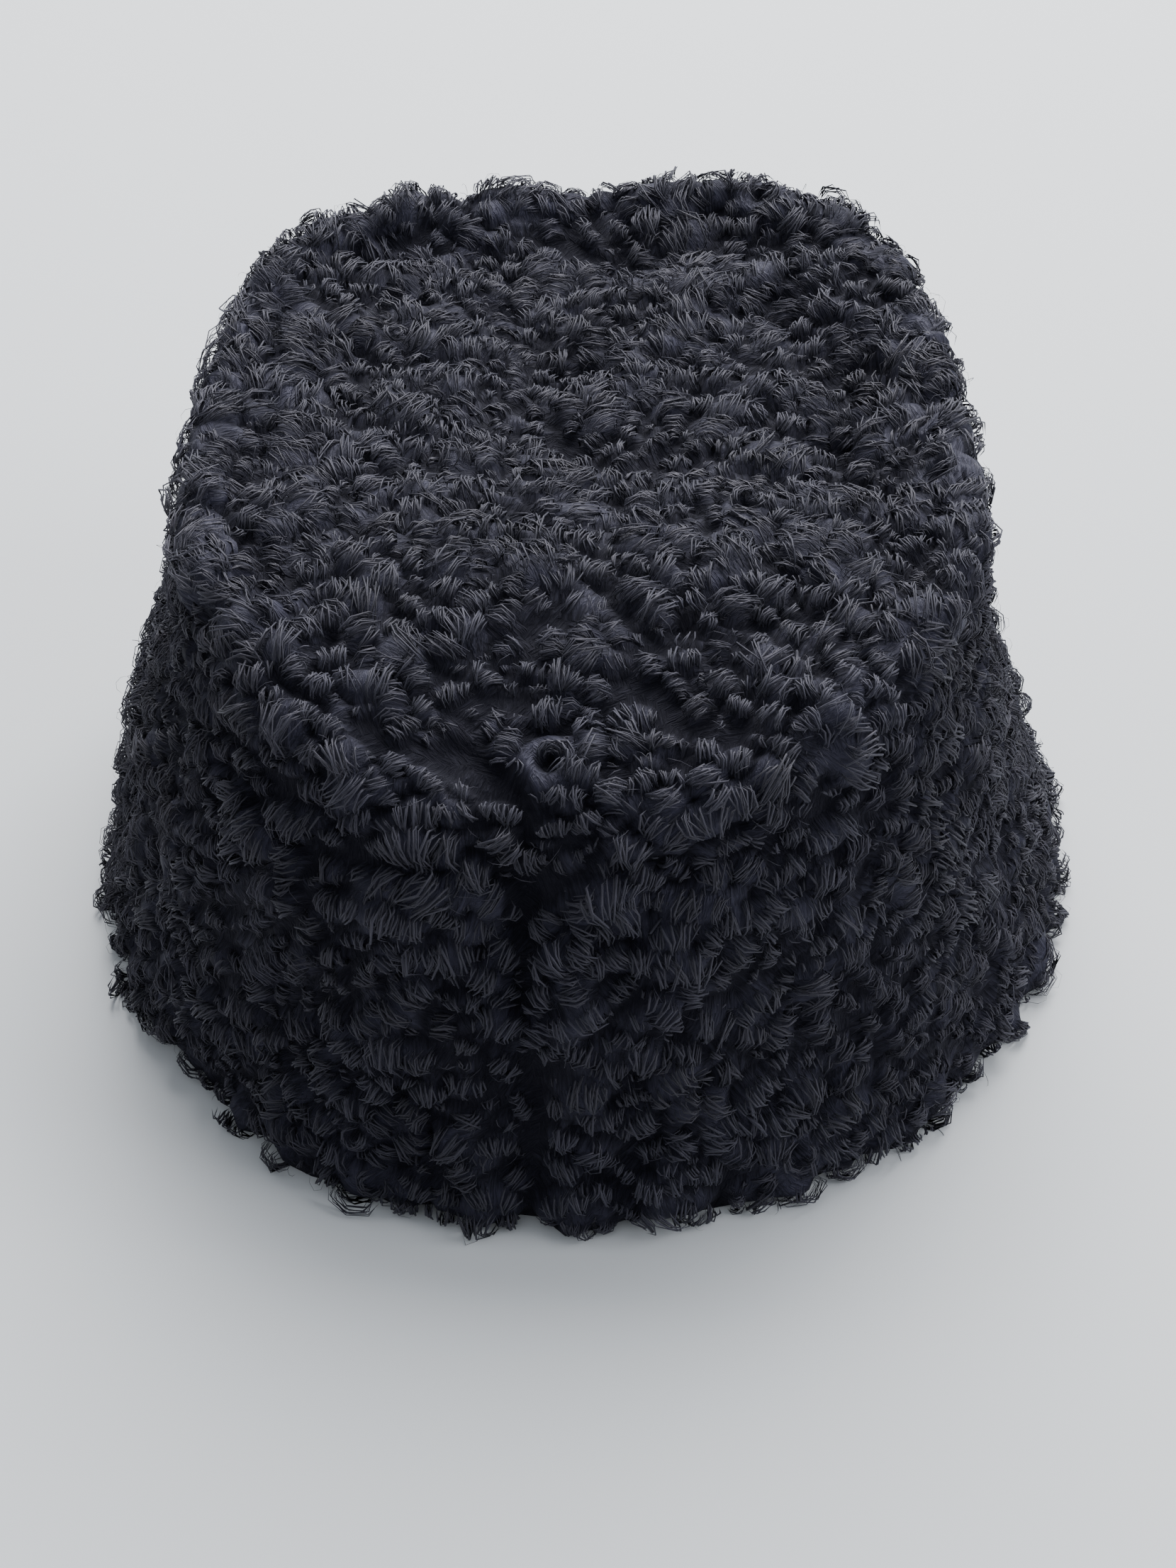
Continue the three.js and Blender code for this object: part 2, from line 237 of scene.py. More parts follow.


# %% [markdown]
# ## Black fleece
#
# Karakul wool is black to the root, but each hair is glossy, so what the eye reads is a field of fine
# grey glints. The curls carry a UV map, in millimetres, whose first number runs across a lock and
# whose second runs along it. Noise that is squeezed along the lock gives hair lines, both as bump and
# as a slight change of grey. A slower noise in the hat's own coordinates keeps the whole uneven. The
# crown's copy of the material is painted a shade lighter than the band's: painted light on the top.

# %% The fleece finishes, with painted light on the crown's copy
HAIR_LINES = (6.0, 0.4, 1.0)
PATCH_SCALE = 60.0
RAMP_ENDS = (0.36, 0.68)
GLOSS_TINT = (0.95, 0.9, 1.0, 1.0)
SHEEN_TINT = (0.8, 0.85, 1.0, 1.0)
FLEECE = {"gloss": 0.54, "shine": 0.62}
BAND_TONES = {"dark": (0.003, 0.0031, 0.006, 1), "light": (0.018, 0.018, 0.032, 1)}
# The crown's tones are the band's painted a shade lighter: painted light on the top.
CROWN_PAINTED_LIGHT_TONES = {"dark": (0.0034, 0.0035, 0.0066, 1), "light": (0.02, 0.02, 0.035, 1)}


def fleece_material(name, dark, light, gloss, shine):
    """Glossy black wool; gloss is the least roughness, and shine the strength of its reflection."""
    material, shader, wire = start_material(name)
    uv = wire.node("ShaderNodeUVMap", {"uv_map": "lock_uv"})
    along = wire.node("ShaderNodeMapping", inputs={"Vector": uv, "Scale": HAIR_LINES})
    fine = wire.node("ShaderNodeTexNoise", inputs={"Vector": along, "Scale": 1.0, "Detail": 3.0})
    coarse = wire.node("ShaderNodeTexNoise", inputs={"Vector": along, "Scale": 0.3, "Detail": 2.0})
    hairs = fine * 0.6 + coarse * 0.4
    place = wire.node("ShaderNodeTexCoord", output="Object")
    inputs = {"Vector": place, "Scale": PATCH_SCALE, "Detail": 2.0}
    patches = wire.node("ShaderNodeTexNoise", inputs=inputs)
    tint = hairs * 0.6 + patches * 0.4
    stops = list(zip(RAMP_ENDS, (dark, light)))
    feed(wire.node("ShaderNodeValToRGB", {"stops": stops}, {"Fac": tint}), shader, "Base Color")
    feed(gloss + hairs * 0.2, shader, "Roughness")
    bump = wire.node("ShaderNodeBump", inputs={"Strength": 0.8, "Distance": 0.0003, "Height": hairs})
    feed(bump, shader, "Normal")
    shader.inputs["Specular IOR Level"].default_value = shine
    shader.inputs["Specular Tint"].default_value = GLOSS_TINT
    shader.inputs["Sheen Weight"].default_value = 0.05
    shader.inputs["Sheen Roughness"].default_value = 0.5
    shader.inputs["Sheen Tint"].default_value = SHEEN_TINT
    return material


band_black = fleece_material("band_fleece", **BAND_TONES, **FLEECE)
# The crown's copy of the fleece has painted light: it is a shade lighter than the band's.
crown_black_painted_light = fleece_material("crown_fleece", **CROWN_PAINTED_LIGHT_TONES, **FLEECE)
print("fleece materials:", band_black.name, crown_black_painted_light.name)

# %% [markdown]
# ## The wool between the locks
#
# Under the locks the curls are a felted mass of finer hair. Its UV map runs across and along the
# nearest curl, so that stretched noise draws hair lines which follow each curl. A second map holds
# the height of the wool, and it paints shade into the colour: down in the cracks the wool is painted
# nearly black and dull, and on the crests of the curls it is lighter and takes some of the shine.

# %% Short wool with painted shade that darkens it toward the skin
FELT_LINES = (1.5, 0.25, 1.0)
# The dark stop is painted shade down in the cracks. Hair lines and height carry the colour up to the
# lighter stop on the crests.
WOOL_AND_PAINTED_SHADE_STOPS = [(0.35, (0.0012, 0.0012, 0.0036, 1)), (0.85, (0.02, 0.02, 0.036, 1))]
WOOL_SHINE = 0.4
WOOL_TINT = (0.84, 0.82, 1.0, 1.0)


def wool_material(name):
    material, shader, wire = start_material(name)
    uv = wire.node("ShaderNodeUVMap", {"uv_map": "lock_uv"})
    along = wire.node("ShaderNodeMapping", inputs={"Vector": uv, "Scale": FELT_LINES})
    inputs = {"Vector": along, "Scale": 1.0, "Detail": 3.0, "Roughness": 0.6, "Distortion": 0.7}
    lines = wire.node("ShaderNodeTexNoise", inputs=inputs)
    # The wool's height is painted into its colour as shade: dark in the cracks, lighter on the crests.
    painted_shade_height = wire.node("ShaderNodeUVMap", {"uv_map": "wool_height"})
    height = wire.node("ShaderNodeSeparateXYZ", inputs={0: painted_shade_height})
    hair_lines_and_painted_shade = lines * 0.8 + height * 0.5 - 0.1
    feed(wire.node("ShaderNodeValToRGB", {"stops": WOOL_AND_PAINTED_SHADE_STOPS}, {"Fac": hair_lines_and_painted_shade}), shader, "Base Color")
    feed(1.15 - hair_lines_and_painted_shade * 0.7, shader, "Roughness")
    bump = wire.node("ShaderNodeBump", inputs={"Strength": 1.0, "Distance": 0.0012, "Height": lines})
    feed(bump, shader, "Normal")
    shader.inputs["Specular IOR Level"].default_value = WOOL_SHINE
    shader.inputs["Specular Tint"].default_value = WOOL_TINT
    return material


# The wool material carries painted shade in the cracks between the curls.
under_wool_with_painted_shade = wool_material("under_wool_with_painted_shade")
print("wool material:", under_wool_with_painted_shade.name)

# %% [markdown]
# ## The flesh side of the skin
#
# Inside the hat the skin itself shows: dyed suede, dull and slightly mottled. It has no lining.

# %% Suede for the inside
CLOUD_SCALE = 70.0
NAP_SCALE = 2600.0
SUEDE_STOPS = [(0.3, (0.028, 0.024, 0.022, 1)), (0.7, (0.062, 0.054, 0.05, 1))]


def suede_material(name):
    material, shader, wire = start_material(name)
    place = wire.node("ShaderNodeTexCoord", output="Object")
    inputs = {"Vector": place, "Scale": CLOUD_SCALE, "Detail": 5.0}
    clouds = wire.node("ShaderNodeTexNoise", inputs=inputs)
    inputs = {"Vector": place, "Scale": NAP_SCALE, "Detail": 2.0}
    nap = wire.node("ShaderNodeTexNoise", inputs=inputs)
    mottle = clouds * 0.7 + nap * 0.3
    feed(wire.node("ShaderNodeValToRGB", {"stops": SUEDE_STOPS}, {"Fac": mottle}), shader, "Base Color")
    feed(0.78 + nap * 0.16, shader, "Roughness")
    bump = wire.node("ShaderNodeBump", inputs={"Strength": 0.5, "Distance": 0.0003, "Height": nap})
    feed(bump, shader, "Normal")
    return material


suede = suede_material("hide_suede")
print("suede material:", suede.name)

# %% [markdown]
# ## One skin sewn from two solids
#
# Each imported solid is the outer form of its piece, crests of the fleece included. The real hat is
# one skin without a gap: the strip is sewn up at the back, and the crown is sewn into it. So the
# two solids are copied into one mesh, the upright faces that stand in the seams are taken out, and
# rows of faces are stitched from edge to edge, outside and inside. The new faces can come in another
# order on every run. The curls are seeded, so the mesh is sorted by place before they are thrown.

# %% Copy both solids and sew them together
MERGE = 0.01 * MM
SEAM_X = 10.4 * MM
SLIT = 1.0 * MM
SHOULDER = 0.65 * HAT_HEIGHT
UPRIGHT = 0.001
SORT_ALONG = Vector((0.75, 0.57, 0.32))


def add_copy(mesh, node):
    """Appends a merged copy of a solid to the mesh and returns the copy's faces."""
    earlier = set(mesh.faces)
    mesh.from_mesh(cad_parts[node].data)
    corners = list(dict.fromkeys(v for face in mesh.faces if face not in earlier for v in face.verts))
    bmesh.ops.remove_doubles(mesh, verts=corners, dist=MERGE)
    mesh.normal_update()
    return [face for face in mesh.faces if face not in earlier]


def in_back_seam(face):
    centre = face.calc_center_median()
    return centre.y > 0 and abs(centre.x - SEAM_X) < SLIT and abs(face.normal.x) > 0.3


def in_crown_seam(face, side):
    """Whether a face stands upright at the crown seam, turned from the axis (1) or to it (-1)."""
    centre = face.calc_center_median()
    outward = Vector((centre.x, centre.y, 0)).normalized().dot(face.normal)
    return centre.z > SHOULDER and abs(face.normal.z) < UPRIGHT and outward * side > 0.5


def cut_out(mesh, faces):
    bmesh.ops.delete(mesh, geom=faces, context="FACES_KEEP_BOUNDARY")
    return len(faces)


def open_edges(mesh):
    return [edge for edge in mesh.edges if len(edge.link_faces) == 1]


def open_rings(mesh):
    """The corners along the open edges, ring by ring, the highest ring first."""
    waiting = {v for edge in open_edges(mesh) for v in edge.verts}
    rings = []
    while waiting:
        wave = [waiting.pop()]
        ring = []
        while wave:
            corner = wave.pop()
            ring.append(corner)
            ends = {end for edge in corner.link_edges if len(edge.link_faces) == 1 for end in edge.verts}
            wave.extend(ends & waiting)
            waiting -= ends
        rings.append(ring)
    return sorted(rings, key=lambda ring: -sum(v.co.z for v in ring) / len(ring))


def stitch(mesh, *rings):
    """Joins two rings with a row of faces."""
    corners = {v for ring in rings for v in ring}
    edges = [edge for edge in open_edges(mesh) if all(v in corners for v in edge.verts)]
    bmesh.ops.bridge_loops(mesh, edges=edges)


def by_place(vertex):
    """A number to sort corners by, which depends only on where they lie."""
    return round(vertex.co.dot(SORT_ALONG), 7)


def put_in_order(mesh):
    """Sorts corners and faces by place, so that every run lists them alike."""
    mesh.verts.sort(key=by_place)
    mesh.faces.sort(key=lambda face: sum(by_place(v) for v in face.verts))


def sewn_skin():
    mesh = bmesh.new()
    band = add_copy(mesh, "side_band")
    ends = cut_out(mesh, [face for face in band if in_back_seam(face)])
    stitch(mesh, *open_rings(mesh))
    mesh.normal_update()
    edge = cut_out(mesh, [face for face in mesh.faces if in_crown_seam(face, -1)])
    lip, under_lip = open_rings(mesh)
    crown = add_copy(mesh, "crown_tip")
    edge += cut_out(mesh, [face for face in crown if in_crown_seam(face, 1)])
    band_edge = set(lip + under_lip)
    crown_edge, crown_under = [ring for ring in open_rings(mesh) if ring[0] not in band_edge]
    stitch(mesh, lip, crown_edge)
    stitch(mesh, under_lip, crown_under)
    bmesh.ops.triangulate(mesh, faces=mesh.faces)
    bmesh.ops.recalc_face_normals(mesh, faces=mesh.faces)
    put_in_order(mesh)
    print("faces taken out:", ends, "and", edge, "open edges left:", len(open_edges(mesh)))
    return mesh, lip + crown_edge


skin, seam_line = sewn_skin()

# %% [markdown]
# ## The outer sheet
#
# From the top, faces are gathered neighbour by neighbour as far as the rim. That sheet is where the
# wool grows. The seams left a small step in it, so they are smoothed more than the rest. The lip at
# the back is smoothed most of all: there the crown slumps over into the wall without an edge.

# %% Gather the outer sheet and calm it
CALMING_PASSES = 1
SEAM_PASSES = 4
SEAM_REACH = 2
LIP_PASSES = 26
LIP_BOX = (50 * MM, 64 * MM)


def outer_sheet(mesh):
    start = max(mesh.faces, key=lambda face: face.calc_center_median().z)
    sheet = {start}
    wave = [start]
    while wave:
        around = {other for edge in wave.pop().edges for other in edge.link_faces}
        fresh = [face for face in around - sheet if any(v.co.z > MERGE for v in face.verts)]
        sheet.update(fresh)
        wave.extend(fresh)
    return [face for face in mesh.faces if face in sheet]


def calm(mesh, vertices, passes):
    for _ in range(passes):
        bmesh.ops.smooth_vert(
            mesh, verts=vertices, factor=0.5, use_axis_x=True, use_axis_y=True, use_axis_z=True
        )


def widen(vertices, steps):
    wide = set(vertices)
    for _ in range(steps):
        wide |= {end for v in wide for edge in v.link_edges for end in edge.verts}
    return wide


skin.normal_update()
outer = outer_sheet(skin)
outer_set = set(outer)
free = [v for v in skin.verts if all(face in outer_set for face in v.link_faces)]
seam_band = widen(seam_line, SEAM_REACH)
calm(skin, free, CALMING_PASSES)
calm(skin, [v for v in free if v in seam_band], SEAM_PASSES)
calm(skin, [v for v in free if v.co.y > LIP_BOX[0] and v.co.z > LIP_BOX[1]], LIP_PASSES)
skin.normal_update()
print("outer faces:", len(outer), "of", len(skin.faces))

# %% [markdown]
# ## Where the curls grow
#
# Curls sit side by side like pebbles: never on one another, never in rows. Points are thrown at
# random on the skin, each triangle getting its share by area, and a point is kept only if no kept
# point is nearer than the spacing. A grid of boxes makes that test quick. Then small curls fill
# the gaps, in the same way but closer together.
#
# Where the skin folds, the wool parts and one sees into a dark crease: down the back seam, in the
# pit above it and along a few creases of the crown. Each parting is a line between two points with
# a half width, all in millimetres, and no curl grows in it.

# %% Throw points on the skin and keep those with room
SPACING = 5.0 * MM
FILLER_SPACING = 3.7 * MM
TRIES = 40000
PARTINGS = [
    {"name": "pit", "start": (20, 80, 80), "end": (13, 85, 77), "half_width": 4.8},
    {"name": "open seam", "start": (11.8, 85, 75), "end": (9.6, 96, 53), "half_width": 4.0},
    {"name": "lower seam", "start": (9.6, 99, 46), "end": (9.8, 106, 8), "half_width": 1.3},
    {"name": "left valley", "start": (50, 72, 90), "end": (22, 84, 81), "half_width": 2.5},
    {"name": "upper left valley", "start": (63, 51, 94), "end": (50, 72, 90), "half_width": 1.8},
    {"name": "short groove", "start": (-17, 42, 91.5), "end": (-15.7, 59, 86.6), "half_width": 2.5},
    {"name": "slanting crease", "start": (-3, 68, 86.4), "end": (-14.4, 76, 83.8), "half_width": 2.5},
    {"name": "right crease", "start": (-14.4, 76, 83.8), "end": (-32, 89, 83), "half_width": 2.4},
    {"name": "dimple", "start": (5, -14, 87), "end": (4, -6, 87), "half_width": 2.7},
    {"name": "second dimple", "start": (-6, 18, 89), "end": (-8, 22, 89), "half_width": 2.4},
    {"name": "front valley", "start": (8.5, -77, 96), "end": (-4.4, -72, 95), "half_width": 1.5},
]


def unit(vectors):
    return vectors / np.maximum(np.linalg.norm(vectors, axis=-1, keepdims=True), 1e-12)


def random_points(faces, count, rng):
    ordered = [sorted(face.verts, key=by_place) for face in faces]
    corners = np.array([[v.co[:] for v in triangle] for triangle in ordered])
    normals = np.array([[v.normal[:] for v in triangle] for triangle in ordered])
    sides = np.cross(corners[:, 1] - corners[:, 0], corners[:, 2] - corners[:, 0])
    areas = np.linalg.norm(sides, axis=1)
    picks = rng.choice(len(areas), size=count, p=areas / areas.sum())
    a, b = rng.random((2, count))
    folded = a + b > 1
    a[folded], b[folded] = 1 - a[folded], 1 - b[folded]
    weights = np.stack([1 - a - b, a, b], axis=1)[:, :, None]
    return (corners[picks] * weights).sum(axis=1), unit((normals[picks] * weights).sum(axis=1))


def from_partings(places):
    """How far each place lies outside the nearest parting, and the direction away from it."""
    outside = np.full(len(places), np.inf)
    away = np.zeros_like(places)
    for parting in PARTINGS:
        start = np.array(parting["start"]) * MM
        run = np.array(parting["end"]) * MM - start
        share = np.clip((places - start) @ run / (run @ run), 0, 1)
        gap = places - start - share[:, None] * run
        beyond = np.linalg.norm(gap, axis=1) - parting["half_width"] * MM
        nearer = beyond < outside
        outside[nearer] = beyond[nearer]
        away[nearer] = unit(gap[nearer])
    return outside, away


def keep_apart(places, spacing):
    kept = []
    boxes = {}
    for index, (x, y, z) in enumerate(np.floor(places / spacing).astype(int)):
        around = [(x + i, y + j, z + k) for i in (-1, 0, 1) for j in (-1, 0, 1) for k in (-1, 0, 1)]
        near = [other for box in around for other in boxes.get(box, ())]
        if near and np.min(np.linalg.norm(places[near] - places[index], axis=1)) < spacing:
            continue
        boxes.setdefault((x, y, z), []).append(index)
        kept.append(index)
    return kept


# %% [markdown]
# ## What kind of curl grows where
#
# A roll curl is a short bolster: its hairs rise at the back, arch over and tuck in at the front. A
# whirl lies on its side, so that one looks into a small dark ring. The way the wool leans, the size
# of the curls and their bend change slowly from place to place, as they do on a real pelt. The wall's
# wool leans down to the rim, and the crown's lies in longer, flatter waves that run to the back. One
# passes into the other over the shoulder.
#
# Blender's noise draws its directions from the clock, unless it is given a seed. It gets one here,
# or each run would grow another hat.

# %% Describe every curl by a few numbers
CURL_DEPTH = 3.7 * MM
FILLER_SCALE = 0.62
PARTING_REACH = 4.0 * MM
CURL_SEED = 3
NOISE_SEED = 7
BEND = 0.13
CLUSTER_RISE = 1.5 * MM
TURN = (76 * MM, 96 * MM)
WALL = {
    "fall": (0.0, 0.0, -1.0), "radius": (1.5 * MM, 2.9 * MM), "length": (4.5 * MM, 8.0 * MM),
    "stretch": (0.95, 1.5), "whirls": 0.03,
}
TOP = {
    "fall": (0.0, 1.0, 0.0), "radius": (1.5 * MM, 2.9 * MM), "length": (5.0 * MM, 8.5 * MM),
    "stretch": (1.2, 2.0), "whirls": 0.01,
}


def between(rng, low, high, count):
    return low + (high - low) * rng.random(count)


def drift(places, size, seed):
    """A smooth random direction at each place, which changes over about the given size."""
    offset = Vector((seed * 7.3, seed * 3.1, seed * 5.7))
    return np.array([noise.noise_vector(Vector(place) / size + offset)[:] for place in places])


def describe_curls(faces, seed):
    rng = np.random.default_rng(seed)
    noise.seed_set(NOISE_SEED)
    places, up = random_points(faces, TRIES, rng)
    woolly = from_partings(places)[0] > 0
    places, up = places[woolly], up[woolly]
    large = keep_apart(places, SPACING)
    order = large + sorted(set(range(len(places))) - set(large))
    kept = [order[index] for index in keep_apart(places[order], FILLER_SPACING)]
    places, up = places[kept], up[kept]
    count = len(places)
    small = np.arange(count) >= len(large)
    scale = np.where(small, FILLER_SCALE, 1.0)
    share = np.clip((places[:, 2] - TURN[0]) / (TURN[1] - TURN[0]), 0, 1)

    def mixed(key):
        """Numbers that pass from the wall's value to the top's over the shoulder."""
        wall, top = np.array(WALL[key]), np.array(TOP[key])
        return wall + (top - wall) * (share[:, None] if wall.ndim else share)

    lean = mixed("fall") + 1.9 * drift(places, 14 * MM, seed) + 1.5 * drift(places, 5 * MM, seed + 1)
    outside, away = from_partings(places)
    beside = np.clip(1 - outside / PARTING_REACH, 0, 1)
    lean = unit(lean) + 1.5 * beside[:, None] * away
    lean = unit(lean - up * (lean * up).sum(axis=1, keepdims=True))
    swell = 1.3 * drift(places, 12 * MM, seed + 2)[:, 0] + drift(places, 4 * MM, seed + 3)[:, 0]
    size = np.clip(0.45 + swell - 0.3 * beside, 0, 1)
    rise = CLUSTER_RISE * drift(places, 11 * MM, seed + 4)[:, 0]
    low, high = mixed("radius").T
    short, long = mixed("length").T
    close, wide = mixed("stretch").T
    curls = {
        "place": places - up * (CURL_DEPTH - rise)[:, None],
        "up": up,
        "lean": lean,
        "axis": np.cross(up, lean),
        "radius": (low + (high - low) * size) * scale,
        "length": between(rng, short, long, count) * (0.75 + 0.45 * size) * scale,
        "bend": between(rng, -BEND, BEND, count) / MM,
        "stretch": between(rng, close, wide, count),
        "small": small,
        "whirl": ~small & (rng.random(count) < mixed("whirls")),
        "sense": np.where(rng.random(count) < 0.5, -1.0, 1.0),
    }
    whirls = int(curls["whirl"].sum())
    print("large curls:", len(large), "whirls among them:", whirls, "small curls:", int(small.sum()))
    return curls


curls = describe_curls(outer, CURL_SEED)

# %% [markdown]
# ## The pelt under the curls
#
# The outer sheet sinks by the depth of the curls and is divided. Under every curl it then swells
# into a bolster, or into a ring with a dimple, so that the curls are filled and the cracks between
# them stay deep and dark. In the partings it dips instead. The inner face, of suede, stays where the
# solid has it, except under the deepest dents, where it gives way so that the skin keeps its
# thickness. Last come the two UV maps that the wool material reads. The second holds the wool's
# height, from which the material paints shade into the cracks.

# %% Sink, divide and swell the outer sheet
PELT_CUTS = 2
FILL = 0.64
# The wool height at which the painted shade is fully lifted.
FULL_SHADE_HEIGHT = 3.2 * MM
HIDE = 3.0 * MM
PARTING_DIP = 1.5 * MM
NEIGHBOURS = 6
ROLL = {"half_length": 0.52, "height": 1.55}
RING = {"radius": 1.25, "half_width": 0.75, "height": 1.3}
UV_STEP = 7


def sink(mesh, faces):
    """Sinks the sheet along its normals; at the rim it moves in its own plane."""
    known = set(faces)
    moves = {}
    for vertex in {v for face in faces for v in face.verts}:
        around = [face for face in vertex.link_faces if face in known]
        push = sum((face.normal * face.calc_area() for face in around), Vector())
        if vertex.co.z < MERGE:
            push.z = 0
        moves[vertex] = push.normalized() * CURL_DEPTH
    for vertex, move in moves.items():
        vertex.co -= move
    mesh.normal_update()


def keep_thick(mesh, faces):
    """Moves the inner face away wherever the sunk sheet comes nearer to it than the hide is thick."""
    numbers = {v: index for index, v in enumerate(mesh.verts)}
    triangles = [[numbers[v] for v in face.verts] for face in faces]
    sheet = BVHTree.FromPolygons([v.co for v in mesh.verts], triangles)
    known = set(faces)
    moves = {}
    for vertex in mesh.verts:
        if vertex.co.z > MERGE and not any(face in known for face in vertex.link_faces):
            nearest, normal = sheet.find_nearest(vertex.co)[:2]
            depth = (nearest - vertex.co).dot(normal)
            if depth < HIDE:
                moves[vertex] = normal * (depth - HIDE)
    for vertex, move in moves.items():
        vertex.co += move
    most = max([move.length for move in moves.values()], default=0)
    print("inner corners moved:", len(moves), "most, mm:", round(most / MM, 1))


def nearest_curls(spots, count):
    """The numbers of the curls nearest to each spot."""
    tree = kdtree.KDTree(len(curls["place"]))
    for index, place in enumerate(curls["place"]):
        tree.insert(place, index)
    tree.balance()
    return np.array([[found[1] for found in tree.find_n(spot, count)] for spot in spots])


def swelling(spots):
    """The height of the wool over each spot: the tallest of the curls around it."""
    near = nearest_curls(spots, NEIGHBOURS)
    gap = spots[:, None] - curls["place"][near]
    across = (gap * curls["axis"][near]).sum(axis=2)
    along = (gap * curls["lean"][near]).sum(axis=2)
    radius = curls["radius"][near]
    long = across / (ROLL["half_length"] * curls["length"][near])
    short = along / (radius * curls["stretch"][near])
    roll = ROLL["height"] * radius * FILL * np.sqrt(np.clip(1 - long ** 2 - short ** 2, 0, 1))
    ring = (np.hypot(across, along) - RING["radius"] * radius) / (RING["half_width"] * radius)
    whirl = RING["height"] * radius * FILL * np.sqrt(np.clip(1 - ring ** 2, 0, 1))
    return np.where(curls["whirl"][near], whirl, roll).max(axis=1)


def mark_wool(mesh, heights):
    """Writes where each corner lies across and along its face's curl, in mm, and how high it is; the
    height sets the painted shade in the wool's colour.
    """
    lock_uv = mesh.loops.layers.uv.new("lock_uv")
    wool_height = mesh.loops.layers.uv.new("wool_height")
    faces = [face for face in mesh.faces if face.material_index == 0]
    near = nearest_curls([face.calc_center_median() for face in faces], 1)[:, 0]
    for face, curl in zip(faces, near):
        place, axis, lean = (Vector(curls[key][curl]) for key in ("place", "axis", "lean"))
        for loop in face.loops:
            gap = (loop.vert.co - place) / MM
            loop[lock_uv].uv = (gap.dot(axis) + UV_STEP * curl, gap.dot(lean))
            # The height is stored for the painted shade in the wool's colour.
            loop[wool_height].uv = (max(heights[loop.vert] / FULL_SHADE_HEIGHT, 0), 0)


def new_piece(name, data, materials, nodes):
    """Puts a mesh into the scene and says what it rides on, is made of and stands in for."""
    piece = bpy.data.objects.new(name, data)
    bpy.context.scene.collection.objects.link(piece)
    for material in materials:
        data.materials.append(material)
    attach(piece, "root")
    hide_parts(*nodes)
    return piece


def make_pelt(name, mesh, faces):
    sink(mesh, faces)
    keep_thick(mesh, faces)
    known = set(faces)
    for face in mesh.faces:
        face.material_index = 0 if face in known else 1
        face.smooth = True
    edges = list(dict.fromkeys(edge for face in faces for edge in face.edges))
    bmesh.ops.subdivide_edges(mesh, edges=edges, cuts=PELT_CUTS, use_grid_fill=True)
    mesh.normal_update()
    vertices = [v for v in mesh.verts if any(face.material_index == 0 for face in v.link_faces)]
    spots = np.array([v.co[:] for v in vertices])
    dip = np.clip(-from_partings(spots)[0], 0, PARTING_DIP)
    heights = dict(zip(vertices, swelling(spots) - dip))
    for vertex, height in heights.items():
        if vertex.co.z > MERGE:
            vertex.co += vertex.normal * height
            vertex.co.z = max(vertex.co.z, 0)
    mark_wool(mesh, heights)
    bmesh.ops.triangulate(mesh, faces=mesh.faces)
    data = bpy.data.meshes.new(name)
    mesh.to_mesh(data)
    mesh.free()
    print(name, "triangles:", len(data.polygons))
    return new_piece(name, data, [under_wool_with_painted_shade, suede], ["side_band", "crown_tip"])


make_pelt("pelt", skin, outer)

# %% [markdown]
# ## One hair lock
#
# Every curl is a handful of thin locks. A lock is a three-sided blade, pointed at both ends, with its
# ridge on top so that it catches a line of light. A triangle is extruded into a few stretches and
# its two ends are drawn to points. Its corners are then bent onto each lock's own path.

# %% Model the blade once with bmesh
LOCK_STEPS = 4
BREADTH_ALONG = np.array([0.0, 0.95, 1.0, 0.75, 0.0])


def model_lock():
    """The blade's corners and triangles: its length runs along Z from 0 to LOCK_STEPS."""
    mesh = bmesh.new()
    ring = bmesh.ops.create_circle(mesh, cap_ends=False, segments=3, radius=1.0)["verts"]
    top = max(ring, key=lambda v: v.co.x)
    turn = math.atan2(top.co.y, top.co.x)
    bmesh.ops.rotate(mesh, verts=ring, matrix=Matrix.Rotation(math.radians(90) - turn, 3, "Z"))
    first = list(ring)
    edges = list(mesh.edges)
    for _ in range(LOCK_STEPS):
        grown = bmesh.ops.extrude_edge_only(mesh, edges=edges)["geom"]
        ring = [part for part in grown if isinstance(part, bmesh.types.BMVert)]
        edges = [part for part in grown if isinstance(part, bmesh.types.BMEdge)]
        bmesh.ops.translate(mesh, verts=ring, vec=(0, 0, 1))
    bmesh.ops.pointmerge(mesh, verts=ring, merge_co=Vector((0, 0, LOCK_STEPS)))
    bmesh.ops.pointmerge(mesh, verts=first, merge_co=Vector((0, 0, 0)))
    bmesh.ops.triangulate(mesh, faces=mesh.faces)
    bmesh.ops.recalc_face_normals(mesh, faces=mesh.faces)
    mesh.verts.index_update()
    corners = np.array([v.co[:] for v in mesh.verts])
    triangles = np.array([[v.index for v in face.verts] for face in mesh.faces])
    mesh.free()
    return corners, triangles


lock_corners, lock_triangles = model_lock()
lock_station = np.rint(lock_corners[:, 2]).astype(int)
SHARE = np.linspace(0, 1, LOCK_STEPS + 1)
print("lock:", len(lock_corners), "corners,", len(lock_triangles), "triangles")

# %% [markdown]
# ## Paths for the locks
#
# The locks of a curl hang together in a few bundles that draw to points, because wool grease holds
# them. In a roll the bundles stand side by side, and each runs over an oval from the back to the
# front. In a whirl they run round one centre and sink into it. A path is a short row of points with
# a ridge direction at each, and arrays hold the paths of all the locks at once.

# %% Rolls and whirls as rows of points
CROOK = 1.3
SEAT_SPREAD = 0.66
DRAWN = (0.55, 1.05)
ROLL_START = (172, 222)
ROLL_END = (-75, 10)
SWAY = (0.05, 0.35)
ORBIT = (0.7, 1.7)
WHIRL_SWEEP = (90, 190)
WHIRL_MIDDLE = 1.15


def pick(chosen, locks):
    """Repeats the chosen curls' numbers, once for each of their locks."""
    return {key: np.repeat(values[chosen], locks, axis=0) for key, values in curls.items()}


